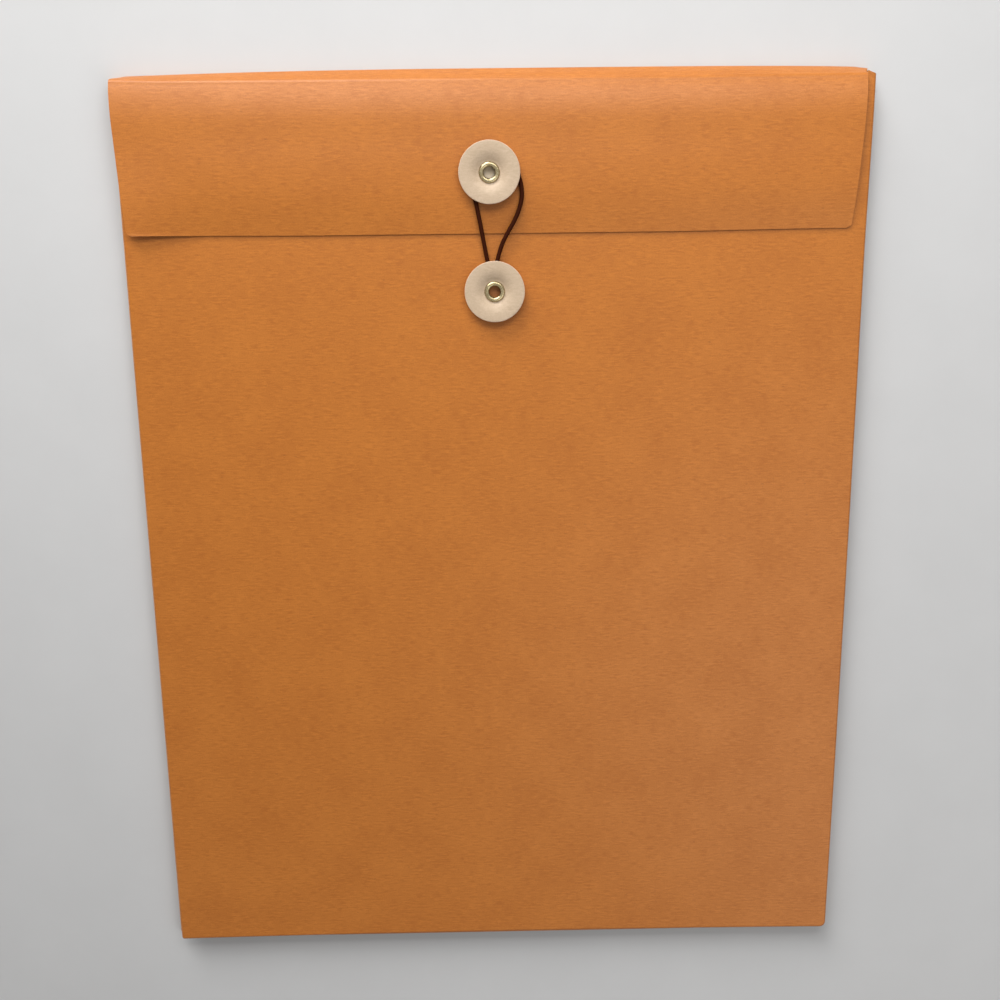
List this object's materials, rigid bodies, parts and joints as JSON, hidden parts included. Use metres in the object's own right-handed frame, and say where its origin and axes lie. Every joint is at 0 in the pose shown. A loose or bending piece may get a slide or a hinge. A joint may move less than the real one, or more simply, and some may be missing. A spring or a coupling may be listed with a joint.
{
  "type": "string tie envelope",
  "caption": "Tan paper document envelope with a folding flap, expanding gussets and an elastic loop that hooks from a front button to a flap button.",
  "frame": {"origin": "middle of the back panel's outer face, which is the middle of the bottom of the box round the part", "axes": "+Z out of the front panel, +Y up the envelope towards the flap's creases, +X to the right seen from the front"},
  "size_m": [0.245, 0.3115, 0.0113],
  "materials": {
    "body_paper": "matte laid kraft",
    "gusset_paper": "matte kraft",
    "disc_fibre": "pressed fibre",
    "eyelet_brass": "polished pale brass",
    "flap_patch_paper": "matte cream",
    "front_patch_paper": "matte kraft",
    "elastic_cord": "woven sheath"
  },
  "bodies": {
    "pocket_back": {"back_panel": "body_paper", "left_back_seam": "gusset_paper", "right_back_seam": "gusset_paper", "bottom_back_seam": "gusset_paper"},
    "pocket_front": {"front_panel": "body_paper", "left_front_seam": "gusset_paper", "right_front_seam": "gusset_paper", "bottom_front_seam": "gusset_paper", "front_button_eyelet": "eyelet_brass", "front_button_patch": "front_patch_paper", "elastic_loop": "elastic_cord"},
    "front_button": {"front_button_disc": "disc_fibre"},
    "spine": {"flap_spine": "body_paper"},
    "flap": {"flap_panel": "body_paper", "flap_button_eyelet": "eyelet_brass", "flap_button_patch": "flap_patch_paper"},
    "flap_button": {"flap_button_disc": "disc_fibre"},
    "left_gusset_back": {"left_gusset_back_half": "gusset_paper"},
    "left_gusset_front": {"left_gusset_front_half": "gusset_paper"},
    "right_gusset_back": {"right_gusset_back_half": "gusset_paper"},
    "right_gusset_front": {"right_gusset_front_half": "gusset_paper"},
    "bottom_gusset_back": {"bottom_gusset_back_half": "gusset_paper"},
    "bottom_gusset_front": {"bottom_gusset_front_half": "gusset_paper"}
  },
  "joints": [
    {"name": "spine_fold", "type": "hinge", "parent": "pocket_back", "child": "spine", "pos_m": [0, 0.15555, 0.0002], "axis": [-1, 0, 0], "range_deg": [0, 115], "deforming": ["elastic_loop"]},
    {"name": "flap_fold", "type": "hinge", "parent": "spine", "child": "flap", "pos_m": [0, 0.152, 0.00645], "axis": [-1, 0, 0], "range_deg": [0, 50], "deforming": ["elastic_loop"]},
    {"name": "pocket_flatten", "type": "slide", "parent": "pocket_back", "child": "pocket_front", "axis": [0, 0, 1], "range_m": [-0.0034, 0], "deforming": ["elastic_loop"]},
    {"name": "flap_button_spin", "type": "hinge", "parent": "flap", "child": "flap_button", "pos_m": [-0.0019, 0.1227, 0.0087], "axis": [0, 0, 1], "continuous": true},
    {"name": "front_button_spin", "type": "hinge", "parent": "pocket_front", "child": "front_button", "pos_m": [-0.0006, 0.0847, 0.0068], "axis": [0, 0, 1], "continuous": true},
    {"name": "left_gusset_back_fold", "type": "hinge", "parent": "pocket_back", "child": "left_gusset_back", "pos_m": [-0.12208, 0, 0.00082], "axis": [0, -1, 0], "range_deg": [-9.9, 0]},
    {"name": "left_gusset_front_fold", "type": "hinge", "parent": "pocket_front", "child": "left_gusset_front", "pos_m": [-0.12208, 0, 0.00498], "axis": [0, 1, 0], "range_deg": [-9.9, 0]},
    {"name": "right_gusset_back_fold", "type": "hinge", "parent": "pocket_back", "child": "right_gusset_back", "pos_m": [0.12208, 0, 0.00082], "axis": [0, 1, 0], "range_deg": [-9.9, 0]},
    {"name": "right_gusset_front_fold", "type": "hinge", "parent": "pocket_front", "child": "right_gusset_front", "pos_m": [0.12208, 0, 0.00498], "axis": [0, -1, 0], "range_deg": [-9.9, 0]},
    {"name": "bottom_gusset_back_fold", "type": "hinge", "parent": "pocket_back", "child": "bottom_gusset_back", "pos_m": [0, -0.15532, 0.00082], "axis": [1, 0, 0], "range_deg": [-9.9, 0]},
    {"name": "bottom_gusset_front_fold", "type": "hinge", "parent": "pocket_front", "child": "bottom_gusset_front", "pos_m": [0, -0.15532, 0.00498], "axis": [-1, 0, 0], "range_deg": [-9.9, 0]}
  ],
  "couplings": [
    {"joint": "left_gusset_back_fold", "follows": "pocket_flatten", "rad_per_m": 50.341},
    {"joint": "left_gusset_front_fold", "follows": "pocket_flatten", "rad_per_m": 50.341},
    {"joint": "right_gusset_back_fold", "follows": "pocket_flatten", "rad_per_m": 50.341},
    {"joint": "right_gusset_front_fold", "follows": "pocket_flatten", "rad_per_m": 50.341},
    {"joint": "bottom_gusset_back_fold", "follows": "pocket_flatten", "rad_per_m": 50.341},
    {"joint": "bottom_gusset_front_fold", "follows": "pocket_flatten", "rad_per_m": 50.341}
  ]
}
